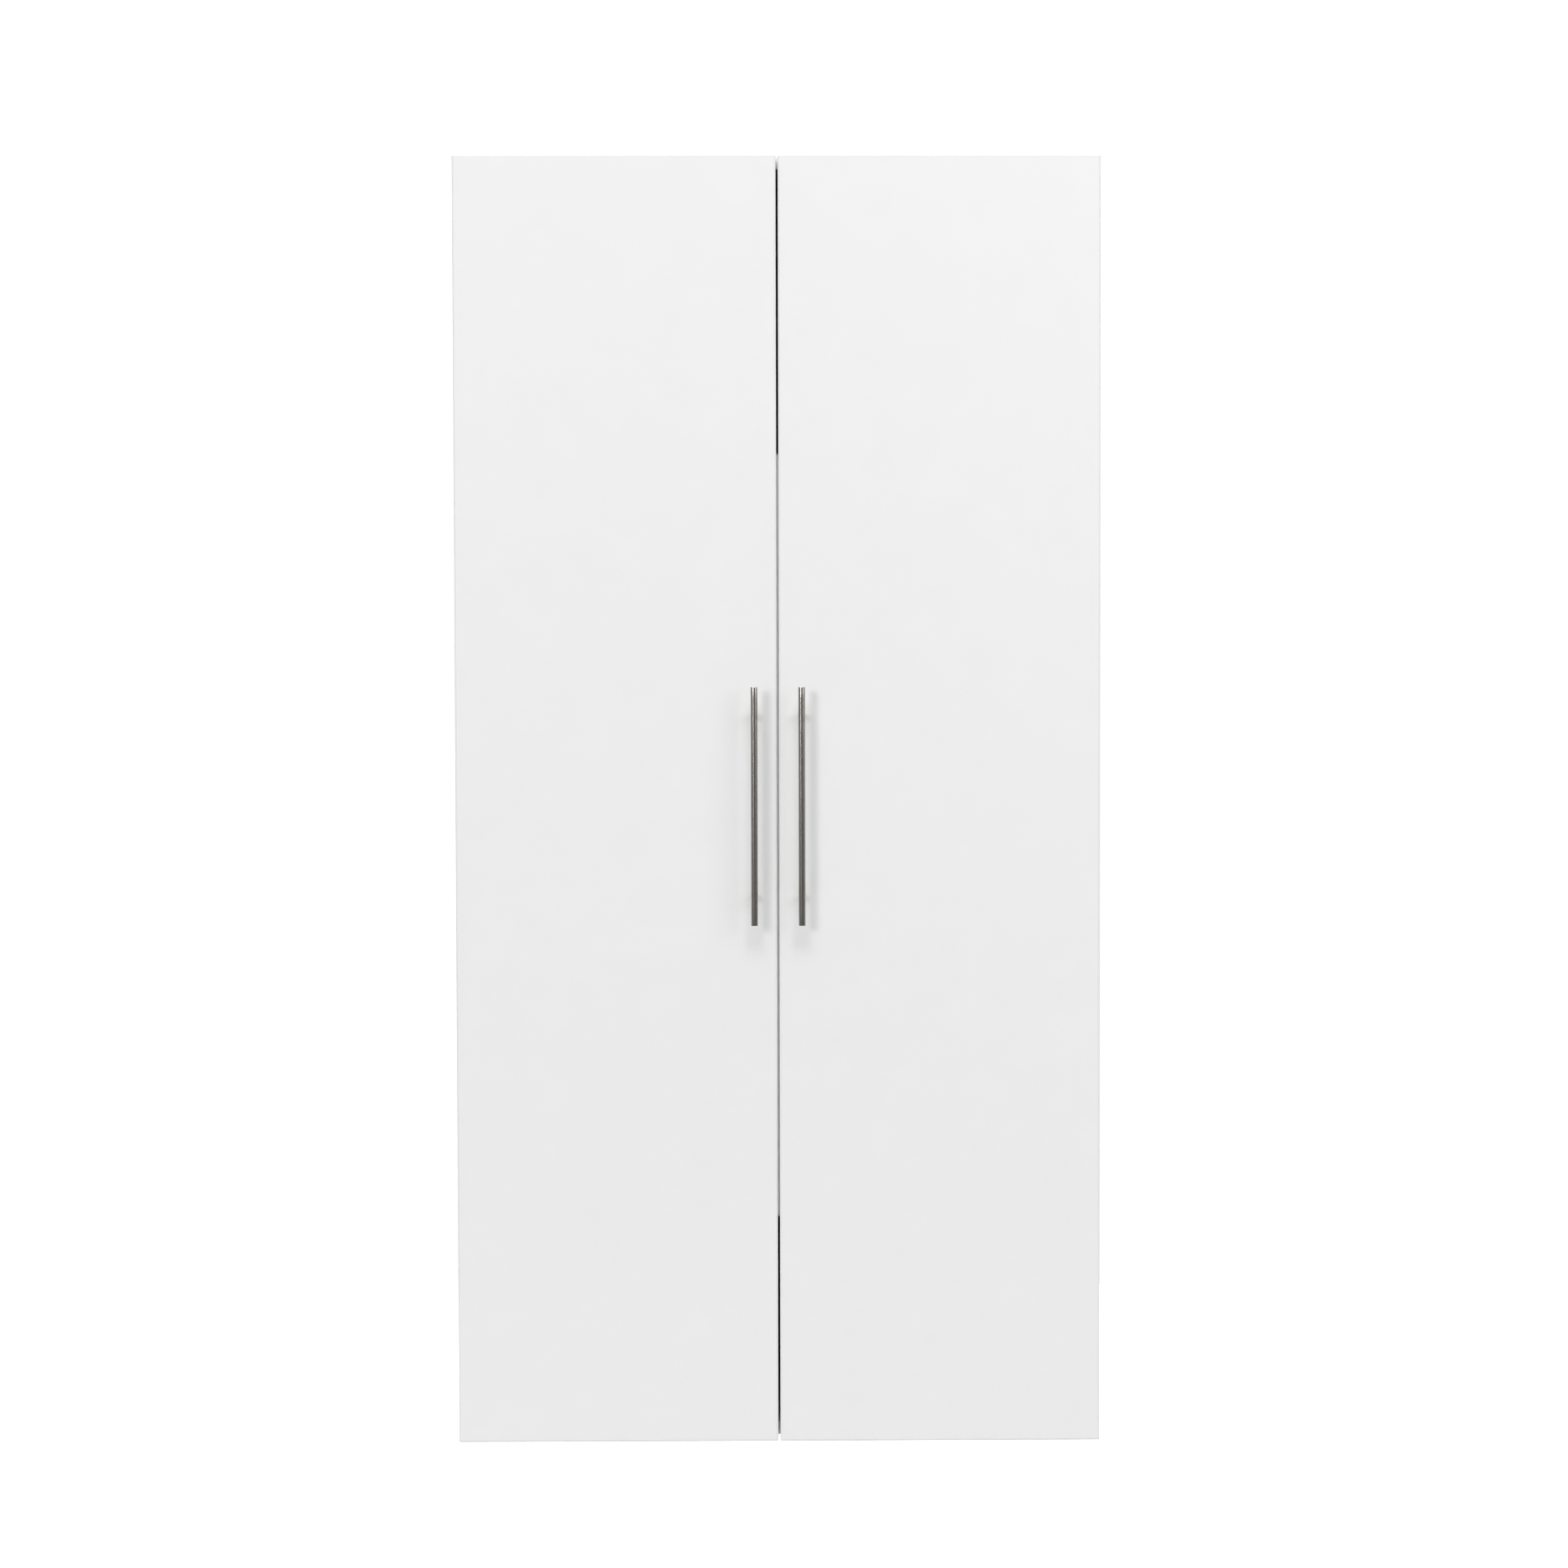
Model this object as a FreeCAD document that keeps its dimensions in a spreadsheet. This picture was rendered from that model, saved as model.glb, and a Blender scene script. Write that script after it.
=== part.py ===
# Wall-hung two-door pantry cabinet: melamine boards, cam fittings, cup hinges and bar handles.
# Millimetres. +Z is up, the doors face -Y and +X is to the right of someone facing them.
# The origin is on the wall plane, in the middle of the wall rail's screw pattern.
# In the expressions below, heights are measured up from the underside of the carcass.
import FreeCAD, Part
import Sketcher
import os
import re

DRIVING = {
    # carcass boards
    "cabinetWidth": 914,
    "carcassHeight": 1824,
    "carcassDepth": 384,
    "board": 19,
    "mountHeight": 1685,
    "lowerShelfHeight": 315,
    "upperShelfHeight": 1384,
    "shelfRearGap": 25,
    "shelfFrontSetback": 18,
    "shelfSideGap": 1,
    # back and rails
    "backThickness": 3,
    "backInset": 20.2,
    "grooveDepth": 8,
    "stripFlange": 1.2,
    "stripHalfWidth": 9,
    "stripWeb": 2,
    "railTipHeight": 1725,
    "railHeight": 80,
    "wallRailHalf": 420,
    "wallHoleAcross": 406.4,
    "wallHoleUp": 40,
    "wallHoleBore": 6.5,
    # shelf pin rows
    "pinInset": 37,
    "pinRearInset": 61,
    "pinStart": 414,
    "pinPitch": 32,
    "pinCount": 28,
    "pinBore": 5,
    "pinDepth": 11,
    "pinDepthUpright": 8,
    "pinFlange": 0.8,
    "pinFlangeRadius": 4,
    "pinTipBevel": 0.5,
    "lowPinIndex": 8,
    "highPinIndex": 19,
    # cam fittings and dowels
    "camInset": 24,
    "camBore": 15,
    "camDepth": 14,
    "camFront": 60,
    "camRear": 310,
    "boltBore": 7,
    "boltPilot": 5,
    "boltPilotDepth": 11,
    "coverDiameter": 17,
    "coverThickness": 1.2,
    "boltCollar": 2,
    "boltNeck": 2.2,
    "boltNeckEnd": 18,
    "boltHead": 3,
    "boltHeadStart": 19,
    "boltHeadEnd": 22.5,
    "camDriveReach": 3,
    "camDriveHalf": 0.6,
    "camDriveDepth": 2,
    "coverBevel": 0.8,
    "dowelBore": 8,
    "dowelEndGap": 1,
    "dowelBevel": 1,
    "dowelStep": 32,
    "dowelInSide": 11,
    "dowelInEnd": 20,
    "hangingBoltHeight": 1768,
    "hangingDowelHeight": 1791,
    "lowerBoltHeight": 69,
    "lowerDowelHeight": 41,
    # doors
    "doorGap": 3,
    "doorThickness": 19,
    "meetingGap": 3,
    "topReveal": 3,
    "bottomOverhang": 4,
    "doorEdgeRadius": 2,
    "bumperInset": 40,
    "bumperDiameter": 9,
    "bumperThickness": 2.8,
    # bar handles
    "barDiameter": 10,
    "barLength": 336,
    "barChamfer": 0.6,
    "barInset": 32,
    "barHeight": 903.5,
    "barStandoff": 27,
    "postDiameter": 8,
    "postSpacing": 256,
    "handleScrew": 4,
    "handleBore": 4.5,
    "handleScrewReach": 10,
    # cup hinges
    "hingeOne": 120,
    "hingeTwo": 590,
    "hingeThree": 1198,
    "hingeFour": 1705,
    "pivotInset": 7.5,
    "pivotDepth": 10,
    "pivotPin": 1.25,
    "knuckleBore": 1.3,
    "knuckleRadius": 2.4,
    "armHalf": 4,
    "armThickness": 2.5,
    "armReach": 23.5,
    "armBodyHalf": 6,
    "armBodyStart": 30,
    "armBodyEnd": 86,
    "cupInset": 20.5,
    "cupRadius": 17.5,
    "cupDepth": 12.5,
    "cupWall": 0.8,
    "cupRim": 18.5,
    "flange": 1.2,
    "cupScrewInset": 30,
    "cupScrewUp": 24,
    "cupScrewPad": 6,
    "cupScrewBore": 4,
    "cupScrewDepth": 11,
    "earLow": 4.2,
    "earReach": 4,
    "earHeight": 6,
    "rivetHalf": 10,
    "plateBase": 2,
    "plateHalf": 25,
    "plateHalfWidth": 8,
    "plateScrewUp": 16,
    "clampBore": 4,
    "clampDepth": 3.5,
    "landAhead": 14,
    "landBehind": 16,
    # pan-head screws
    "plateScrewHead": 4.2,
    "plateScrewRise": 2.2,
    "armScrewHead": 3.6,
    "armScrewRise": 2,
    "cupScrewHead": 3.6,
    "cupScrewRise": 1.6,
    "handleScrewHead": 4.2,
    "handleScrewRise": 2.4,
    "wideDrive": 2.4,
    "narrowDrive": 2,
    "driveHalf": 0.5,
    "screwBottomGap": 0.5,
    "handleScrewGap": 1,
}

# Sizes that follow from the driving ones.
DERIVED = {
    "innerHalf": "cabinetWidth / 2 - board",
    "innerWidth": "cabinetWidth - 2 * board",
    "midBoard": "board / 2",
    "fixedShelfDepth": "carcassDepth - shelfRearGap",
    "uprightFoot": "lowerShelfHeight + board",
    "uprightHeight": "upperShelfHeight - lowerShelfHeight - board",
    "grooveNear": "carcassDepth - backInset - backThickness",
    "doorWidth": "(cabinetWidth - meetingGap) / 2",
    "doorHeight": "carcassHeight - topReveal + bottomOverhang",
    "doorBack": "-carcassDepth - doorGap",
    "doorFront": "-carcassDepth - doorGap - doorThickness",
    "barPlane": "-carcassDepth - doorGap - doorThickness - barStandoff",
    "barFromMiddle": "meetingGap / 2 + barInset",
    "bayWidth": "cabinetWidth / 2 - board - board / 2",
    "plateCentre": "pinInset - carcassDepth",
}

# Shares of a screw head's height: how far the rim is bevelled, and where the cross drive ends.
RIM_BEVEL = 0.45
DRIVE_FLOOR = 0.4

HINGES = ("hingeOne", "hingeTwo", "hingeThree", "hingeFour")
SIDES = {"left": -1, "right": 1}

doc = FreeCAD.newDocument("PantryCabinet")
sheet = doc.addObject("Spreadsheet::Sheet", "Sizes")
for row, (name, value) in enumerate(DRIVING.items(), 1):
    sheet.set("A%d" % row, name)
    sheet.set("B%d" % row, str(value))
    sheet.setAlias("B%d" % row, name)
doc.recompute()
nodes = []


# Expressions

def dim(text):
    # The expression with every driving name read from the sheet and every derived name opened up.
    def swap(found):
        word = found.group(0)
        if word in DERIVED:
            return "(" + dim(DERIVED[word]) + ")"
        return "Sizes." + word if word in DRIVING else word
    return re.sub(r"[A-Za-z]\w*", swap, text)


def number(text):
    value = sheet.evalExpression(dim(text))
    return float(getattr(value, "Value", value))


def bind(thing, **expressions):
    for name, text in expressions.items():
        thing.setExpression(name, dim(text))
    return thing


def place(thing, point):
    # Puts a piece's own origin at a point whose height is above the carcass's underside.
    x, y, height = point
    thing.setExpression("Placement.Base.x", dim(x))
    thing.setExpression("Placement.Base.y", dim(y))
    thing.setExpression("Placement.Base.z", dim(height + " - mountHeight"))
    return thing


def node(thing, label):
    thing.Label = label
    nodes.append(thing)
    return thing


# Sketched features

PLANES = {"x": ("YZ_Plane", 1), "y": ("XZ_Plane", -1), "z": ("XY_Plane", 1)}


def newBody(name, corner):
    return place(doc.addObject("PartDesign::Body", name), corner)


def newSketch(body, axis, level="0"):
    # A sketch square to an axis of the body, at a level along it.
    role, way = PLANES[axis]
    sketch = body.newObject("Sketcher::SketchObject", body.Name + "_sketch")
    plane = [f for f in body.Origin.OriginFeatures if f.Role == role][0]
    sketch.AttachmentSupport = [(plane, "")]
    sketch.MapMode = "FlatFace"
    sketch.setExpression("AttachmentOffset.Base.z", dim("%d * (%s)" % (way, level)))
    return sketch


def hold(sketch, geometry, point, where):
    # Ties one sketch point to a place given by two expressions.
    for kind, axis, text in (("DistanceX", -2, where[0]), ("DistanceY", -1, where[1])):
        if text == "0":
            sketch.addConstraint(Sketcher.Constraint("PointOnObject", geometry, point, axis))
            continue
        limit = Sketcher.Constraint(kind, -1, 1, geometry, point, number(text))
        index = sketch.addConstraint(limit)
        sketch.setExpression("Constraints[%d]" % index, dim(text))


def addOutline(sketch, points):
    # A closed outline of straight edges.
    ends = [FreeCAD.Vector(number(a), number(b), 0) for a, b in points]
    first = sketch.GeometryCount
    for index, start in enumerate(ends):
        sketch.addGeometry(Part.LineSegment(start, ends[(index + 1) % len(ends)]))
    for index, where in enumerate(points):
        before = first + (index - 1) % len(points)
        sketch.addConstraint(Sketcher.Constraint("Coincident", before, 2, first + index, 1))
        hold(sketch, first + index, 1, where)


def addCircle(sketch, centre, diameter):
    middle = FreeCAD.Vector(number(centre[0]), number(centre[1]), 0)
    circle = Part.Circle(middle, FreeCAD.Vector(0, 0, 1), number(diameter) / 2)
    index = sketch.addGeometry(circle)
    hold(sketch, index, 3, centre)
    size = sketch.addConstraint(Sketcher.Constraint("Diameter", index, number(diameter)))
    sketch.setExpression("Constraints[%d]" % size, dim(diameter))


def pad(body, sketch, axis, length):
    # Raises the sketch along the positive axis.
    feature = body.newObject("PartDesign::Pad", body.Name + "_pad")
    feature.Profile = sketch
    feature.Reversed = PLANES[axis][1] < 0
    return bind(feature, Length=length)


def pocket(body, sketch, axis, way, depth):
    # Cuts from the sketch towards the positive or the negative side of the axis.
    feature = body.newObject("PartDesign::Pocket", body.Name + "_pocket")
    feature.Profile = sketch
    feature.Reversed = way * PLANES[axis][1] > 0
    return bind(feature, Length=depth)


def drill(body, axis, level, way, centres, diameter, depth):
    sketch = newSketch(body, axis, level)
    for centre in centres:
        addCircle(sketch, centre, diameter)
    return pocket(body, sketch, axis, way, depth)


def mill(body, axis, level, way, low, high, depth):
    # A rectangular groove between two corners.
    sketch = newSketch(body, axis, level)
    corners = [low, (high[0], low[1]), high, (low[0], high[1])]
    addOutline(sketch, corners)
    return pocket(body, sketch, axis, way, depth)


def repeatUp(body, feature, pitch, count):
    # Repeats a feature up the body's Z axis.
    pattern = body.newObject("PartDesign::LinearPattern", body.Name + "_row")
    pattern.Originals = [feature]
    rise = [f for f in body.Origin.OriginFeatures if f.Role == "Z_Axis"][0]
    pattern.Direction = (rise, [""])
    bind(pattern, Length="%s * (%s - 1)" % (pitch, count), Occurrences=count)
    body.Tip = pattern
    return pattern


def board(name, corner, span):
    # A rectangular board from its low corner.
    body = newBody(name, corner)
    sketch = newSketch(body, "z")
    addOutline(sketch, [("0", "0"), (span[0], "0"), (span[0], span[1]), ("0", span[1])])
    pad(body, sketch, "z", span[2])
    return body


def turned(name, profile):
    # A round piece about its own Z axis; the profile's points are (radius, height).
    body = doc.addObject("PartDesign::Body", name)
    sketch = newSketch(body, "y")
    addOutline(sketch, profile)
    feature = body.newObject("PartDesign::Revolution", name + "_turn")
    feature.Profile = sketch
    feature.ReferenceAxis = (sketch, ["V_Axis"])
    feature.Angle = 360
    return body


# Plain solids and groups

UP = FreeCAD.Vector(0, 0, 1)


def box(name, low, high):
    # A box between two corners; heights are plain here, because hinge pieces are made at zero.
    solid = doc.addObject("Part::Box", name)
    span = ["(%s) - (%s)" % pair for pair in zip(high, low)]
    bind(solid, Length=span[0], Width=span[1], Height=span[2])
    for axis, text in zip("xyz", low):
        solid.setExpression("Placement.Base." + axis, dim(text))
    return solid


def rod(name, start, way, radius, length):
    # A cylinder from a start point along a direction.
    solid = doc.addObject("Part::Cylinder", name)
    solid.Placement.Rotation = FreeCAD.Rotation(UP, FreeCAD.Vector(*way))
    bind(solid, Radius=radius, Height=length)
    for axis, text in zip("xyz", start):
        solid.setExpression("Placement.Base." + axis, dim(text))
    return solid


def fuse(name, solids):
    joined = doc.addObject("Part::MultiFuse", name)
    joined.Shapes = solids
    joined.Refine = True
    return joined


def cut(name, base, tools):
    tool = tools[0] if len(tools) == 1 else fuse(name + "_tools", tools)
    result = doc.addObject("Part::Cut", name)
    result.Base = base
    result.Tool = tool
    return result


def copies(label, master, places):
    # A group of separate solids: one link to the master at each (point, rotation).
    links = []
    for index, (point, rotation) in enumerate(places):
        link = doc.addObject("App::Link", "%s_%d" % (label, index + 1))
        link.LinkedObject = master
        link.LinkTransform = False
        link.Placement.Rotation = rotation
        links.append(place(link, point))
    group = doc.addObject("Part::Compound", label)
    group.Links = links
    return node(group, label)


def facing(along, across):
    # The rotation that turns a piece's Z towards along and its X towards across.
    z = FreeCAD.Vector(*along)
    x = FreeCAD.Vector(*across)
    return FreeCAD.Rotation(x, z.cross(x), z, "ZXY")


# Joints between boards

CAM_LINES = ("camFront", "camRear")
LEVELS = {
    "bottom_panel": ("0", -1),
    "fixed_shelf_lower": ("lowerShelfHeight", -1),
    "fixed_shelf_upper": ("upperShelfHeight", -1),
    "top_panel": ("carcassHeight - board", 1),
}
RAILS = {
    "hanging_rail": ("hangingBoltHeight", "hangingDowelHeight"),
    "lower_back_rail": ("lowerBoltHeight", "lowerDowelHeight"),
}


def dowelLine(line):
    # Dowels stand a step inwards of the cams, between the two of them.
    return line + (" + dowelStep" if line == "camFront" else " - dowelStep")


def sideHoles(kind):
    # Centres in a side panel, as (distance from the front edge, height), for bolts or dowels.
    centres = []
    for height, _ in LEVELS.values():
        for line in CAM_LINES:
            across = line if kind == "bolt" else dowelLine(line)
            centres.append((across, height + " + midBoard"))
    for bolt, dowel in RAILS.values():
        centres.append(("carcassDepth - midBoard", bolt if kind == "bolt" else dowel))
    return centres


def makeSidePanel(side, way):
    corner = ("-cabinetWidth / 2" if way < 0 else "innerHalf", "-carcassDepth", "0")
    panel = board("side_panel_" + side, corner, ("board", "carcassDepth", "carcassHeight"))
    inner = "board" if way < 0 else "0"
    mill(panel, "x", inner, way, ("grooveNear", "board - grooveDepth"),
         ("grooveNear + backThickness", "carcassHeight - board + grooveDepth"), "grooveDepth")
    drill(panel, "x", inner, way, sideHoles("bolt"), "boltPilot", "boltPilotDepth")
    drill(panel, "x", inner, way, sideHoles("dowel"), "dowelBore", "dowelInSide")
    plates = [("pinInset", hinge + sign + "plateScrewUp")
              for hinge in (HINGES[0], HINGES[3]) for sign in (" - ", " + ")]
    drill(panel, "x", inner, way, plates, "pinBore", "pinDepth")
    rows = [("pinInset", "pinStart"), ("carcassDepth - pinRearInset", "pinStart")]
    first = drill(panel, "x", inner, way, rows, "pinBore", "pinDepth")
    repeatUp(panel, first, "pinPitch", "pinCount")
    node(panel, "side_panel_" + side)


def boreEnds(panel, heightMiddle, lines, dowelLines):
    # Bolt and dowel bores in both ends of a board that runs along X.
    for level, way in (("0", 1), ("innerWidth", -1)):
        bolts = [(line, heightMiddle) for line in lines]
        drill(panel, "x", level, way, bolts, "boltBore", "camInset")
        dowels = [(line, heightMiddle) for line in dowelLines]
        drill(panel, "x", level, way, dowels, "dowelBore", "dowelInEnd")


def makeCrossBoard(name):
    height, camSide = LEVELS[name]
    outer = name in ("top_panel", "bottom_panel")
    depth = "carcassDepth" if outer else "fixedShelfDepth"
    panel = board(name, ("-innerHalf", "-carcassDepth", height), ("innerWidth", depth, "board"))
    camLevel = "board" if camSide > 0 else "0"
    cams = [(x, line) for x in ("camInset", "innerWidth - camInset") for line in CAM_LINES]
    drill(panel, "z", camLevel, -camSide, cams, "camBore", "camDepth")
    boreEnds(panel, "midBoard", CAM_LINES, [dowelLine(line) for line in CAM_LINES])
    if outer:
        inside = "0" if camSide > 0 else "board"
        mill(panel, "z", inside, camSide, ("0", "grooveNear"),
             ("innerWidth", "grooveNear + backThickness"), "grooveDepth")
    else:
        towardUpright = "board" if name == "fixed_shelf_lower" else "0"
        way = -1 if name == "fixed_shelf_lower" else 1
        bolts = [("innerHalf", line) for line in CAM_LINES]
        drill(panel, "z", towardUpright, way, bolts, "boltPilot", "boltPilotDepth")
        dowels = [("innerHalf", dowelLine(line)) for line in CAM_LINES]
        drill(panel, "z", towardUpright, way, dowels, "dowelBore", "dowelInSide")
    node(panel, name)


def makeCentreUpright():
    upright = board("centre_upright", ("-midBoard", "-carcassDepth", "uprightFoot"),
                    ("board", "fixedShelfDepth", "uprightHeight"))
    cams = [(line, z) for line in CAM_LINES for z in ("camInset", "uprightHeight - camInset")]
    drill(upright, "x", "board", -1, cams, "camBore", "camDepth")
    for level, way in (("0", 1), ("uprightHeight", -1)):
        bolts = [("midBoard", line) for line in CAM_LINES]
        drill(upright, "z", level, way, bolts, "boltBore", "camInset")
        dowels = [("midBoard", dowelLine(line)) for line in CAM_LINES]
        drill(upright, "z", level, way, dowels, "dowelBore", "dowelInEnd")
    rows = [("pinInset", "pinStart - uprightFoot"),
            ("carcassDepth - pinRearInset", "pinStart - uprightFoot")]
    for level, way in (("0", 1), ("board", -1)):
        first = drill(upright, "x", level, way, rows, "pinBore", "pinDepthUpright")
        repeatUp(upright, first, "pinPitch", "pinCount")
    node(upright, "centre_upright")


def makeRails():
    # Board-thick rails in the recess behind the back; the two upper ones hook on a 45 degree bevel.
    slant = "railTipHeight + board"
    for name, top, half in (("hanging_rail", "carcassHeight - board", "innerHalf"),
                            ("wall_rail", "railTipHeight - railHeight", "wallRailHalf")):
        rail = newBody(name, ("-(%s)" % half, "0", "0"))
        sketch = newSketch(rail, "x")
        outline = [("-board", slant), ("0", "railTipHeight"), ("0", top), ("-board", top)]
        addOutline(sketch, outline)
        pad(rail, sketch, "x", "2 * " + half)
        if name == "wall_rail":
            holes = [("wallRailHalf%swallHoleAcross / 2" % a, "mountHeight%swallHoleUp / 2" % b)
                     for a in (" - ", " + ") for b in (" - ", " + ")]
            drill(rail, "y", "-board", 1, holes, "wallHoleBore", "board")
        else:
            finishRail(rail, name, "-midBoard", "0")
        node(rail, name)
    rail = board("lower_back_rail", ("-innerHalf", "-board", "board"),
                 ("innerWidth", "board", "railHeight"))
    finishRail(rail, "lower_back_rail", "midBoard", "board")
    node(rail, "lower_back_rail")


def finishRail(rail, name, middle, foot):
    # End bores and the two cams, which open on the rail's wall side.
    bolt, dowel = RAILS[name]
    wallFace = "0" if name == "hanging_rail" else "board"
    for level, way in (("0", 1), ("innerWidth", -1)):
        drill(rail, "x", level, way, [(middle, bolt + " - " + foot)], "boltBore", "camInset")
        drill(rail, "x", level, way, [(middle, dowel + " - " + foot)], "dowelBore", "dowelInEnd")
    cams = [(x, bolt + " - " + foot) for x in ("camInset", "innerWidth - camInset")]
    drill(rail, "y", wallFace, -1, cams, "camBore", "camDepth")


def makeBack():
    # Two hardboard halves slide in the grooves and meet in an H-section strip.
    near = "-backInset - backThickness"
    foot = "board - grooveDepth"
    height = "carcassHeight - 2 * board + 2 * grooveDepth"
    width = "innerHalf + grooveDepth - stripWeb / 2"
    for side, x in (("left", "-innerHalf - grooveDepth"), ("right", "stripWeb / 2")):
        half = board("back_panel_" + side, (x, near, foot), (width, "backThickness", height))
        node(half, "back_panel_" + side)
    strip = newBody("back_joiner_strip", ("0", "0", "board"))
    sketch = newSketch(strip, "z")
    web, wide = "stripWeb / 2", "stripHalfWidth"
    depths = [near + " - stripFlange", near, "-backInset", "-backInset + stripFlange"]
    right = [(wide, depths[0]), (wide, depths[1]), (web, depths[1]),
             (web, depths[2]), (wide, depths[2]), (wide, depths[3])]
    left = [("-" + x, y) for x, y in reversed(right)]
    addOutline(sketch, right + left)
    pad(strip, sketch, "z", "carcassHeight - 2 * board")
    node(strip, "back_joiner_strip")


def makeAdjustableShelves():
    for side, way in SIDES.items():
        x = "-innerHalf + shelfSideGap" if way < 0 else "midBoard + shelfSideGap"
        for level, index in (("lower", "lowPinIndex"), ("upper", "highPinIndex")):
            height = "pinStart + %s * pinPitch + pinBore / 2" % index
            name = "shelf_%s_%s" % (side, level)
            shelf = board(name, (x, "-carcassDepth + shelfFrontSetback", height),
                          ("bayWidth - 2 * shelfSideGap",
                           "fixedShelfDepth - shelfFrontSetback", "board"))
            node(shelf, name)


# Fittings

def boardJoints():
    # Every cam joint: (point on the joint face, inward direction, cam face direction, dowel point).
    joints = []
    for name, (height, camSide) in LEVELS.items():
        for way in (-1, 1):
            x = "%d * innerHalf" % way
            for line in CAM_LINES:
                point = (x, line + " - carcassDepth", height + " + midBoard")
                dowel = (x, dowelLine(line) + " - carcassDepth", height + " + midBoard")
                joints.append((point, (-way, 0, 0), (0, 0, camSide), dowel))
    for height, way in (("uprightFoot", 1), ("upperShelfHeight", -1)):
        for line in CAM_LINES:
            point = ("0", line + " - carcassDepth", height)
            dowel = ("0", dowelLine(line) + " - carcassDepth", height)
            joints.append((point, (0, 0, way), (1, 0, 0), dowel))
    for bolt, dowelHeight in RAILS.values():
        for way in (-1, 1):
            x = "%d * innerHalf" % way
            joints.append(((x, "-midBoard", bolt), (-way, 0, 0), (0, 1, 0),
                           (x, "-midBoard", dowelHeight)))
    return joints


def shifted(point, way, text):
    # A point moved along an axis direction by an expression.
    return tuple("%s + %d * (%s)" % (p, w, text) if w else p for p, w in zip(point, way))


def makeBoardFittings():
    joints = boardJoints()
    pilot, bore = "boltPilot / 2", "boltBore / 2"
    bolt = turned("cam_bolt_master", [
        ("0", "-boltPilotDepth"), (pilot, "-boltPilotDepth"), (pilot, "0"), (bore, "0"),
        (bore, "boltCollar"), ("boltNeck", "boltCollar"), ("boltNeck", "boltNeckEnd"),
        ("boltHead", "boltHeadStart"), ("boltHead", "boltHeadEnd"), ("0", "boltHeadEnd")])
    foot, tip, around = "dowelEndGap - dowelInSide", "dowelInEnd - dowelEndGap", "dowelBore / 2"
    dowel = turned("dowel_master", [
        ("0", foot), (around + " - dowelBevel", foot), (around, foot + " + dowelBevel"),
        (around, tip + " - dowelBevel"), (around + " - dowelBevel", tip), ("0", tip)])
    cover = turned("cam_cover_master", [
        ("0", "0"), ("coverDiameter / 2", "0"), ("coverDiameter / 2", "coverThickness / 2"),
        ("coverDiameter / 2 - coverBevel", "coverThickness"), ("0", "coverThickness")])
    block = rod("cam_block", ("0", "0", "-camDepth"), (0, 0, 1), "camBore / 2", "camDepth")
    slot = rod("cam_slot", ("0", "0", "-midBoard"), (1, 0, 0), "boltBore / 2", "camBore")
    reach, half, deep = "camDriveReach", "camDriveHalf", "-camDriveDepth"
    bars = [box("cam_drive_long", ("-" + reach, "-" + half, deep), (reach, half, "0")),
            box("cam_drive_cross", ("-" + half, "-" + reach, deep), (half, reach, "0"))]
    cam = cut("cam_lock_master", block, [slot] + bars)
    bolts, dowels, cams, covers = [], [], [], []
    for point, inward, face, dowelPoint in joints:
        across = (0, 1, 0) if inward[1] == 0 and face[1] == 0 else (0, 0, 1)
        turn = facing(inward, across)
        bolts.append((point, turn))
        dowels.append((dowelPoint, turn))
        outward = tuple(-w for w in inward)
        centre = shifted(shifted(point, inward, "camInset"), face, "midBoard")
        cams.append((centre, facing(face, outward)))
        if face[1] == 0 and face[2] <= 0:
            covers.append((centre, facing(face, outward)))
    copies("cam_bolts", bolt, bolts)
    copies("dowels", dowel, dowels)
    copies("cam_locks", cam, cams)
    copies("cam_covers", cover, covers)


def makeShelfPins():
    stub = "pinBore / 2"
    pin = turned("shelf_pin_master", [
        ("0", "-pinDepthUpright"), (stub, "-pinDepthUpright"), (stub, "0"),
        ("pinFlangeRadius", "0"), ("pinFlangeRadius", "pinFlange"), (stub, "pinFlange"),
        (stub, "pinDepthUpright - pinTipBevel"), (stub + " - pinTipBevel", "pinDepthUpright"),
        ("0", "pinDepthUpright")])
    places = []
    walls = (("-innerHalf", 1), ("-midBoard", -1), ("midBoard", 1), ("innerHalf", -1))
    for x, way in walls:
        for index in ("lowPinIndex", "highPinIndex"):
            height = "pinStart + %s * pinPitch" % index
            for y in ("pinInset - carcassDepth", "-pinRearInset"):
                places.append(((x, y, height), facing((way, 0, 0), (0, 1, 0))))
    copies("shelf_pins", pin, places)


# Hinges
# A hinge is drawn once for each side, at height zero, and repeated at the four hinge heights.
# "across" is the distance inwards from the door's outer edge, "behind" is from the door's front.

def acrossAt(way, text):
    return "%d * (cabinetWidth / 2 - (%s))" % (way, text)


def behind(text):
    return "doorFront + " + text


def hingeBox(name, way, across, depths, heights):
    ends = [acrossAt(way, text) for text in across]
    low, high = ends if way < 0 else ends[::-1]
    return box(name, (low, behind(depths[0]), heights[0]), (high, behind(depths[1]), heights[1]))


def hingeRod(name, way, across, depth, height, direction, radius, length):
    return rod(name, (acrossAt(way, across), behind(depth), height), direction, radius, length)


def atHinges(label, master, heights=("",)):
    still = FreeCAD.Rotation()
    places = [(("0", "0", hinge + extra), still) for hinge in HINGES for extra in heights]
    copies(label, master, places)


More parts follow.
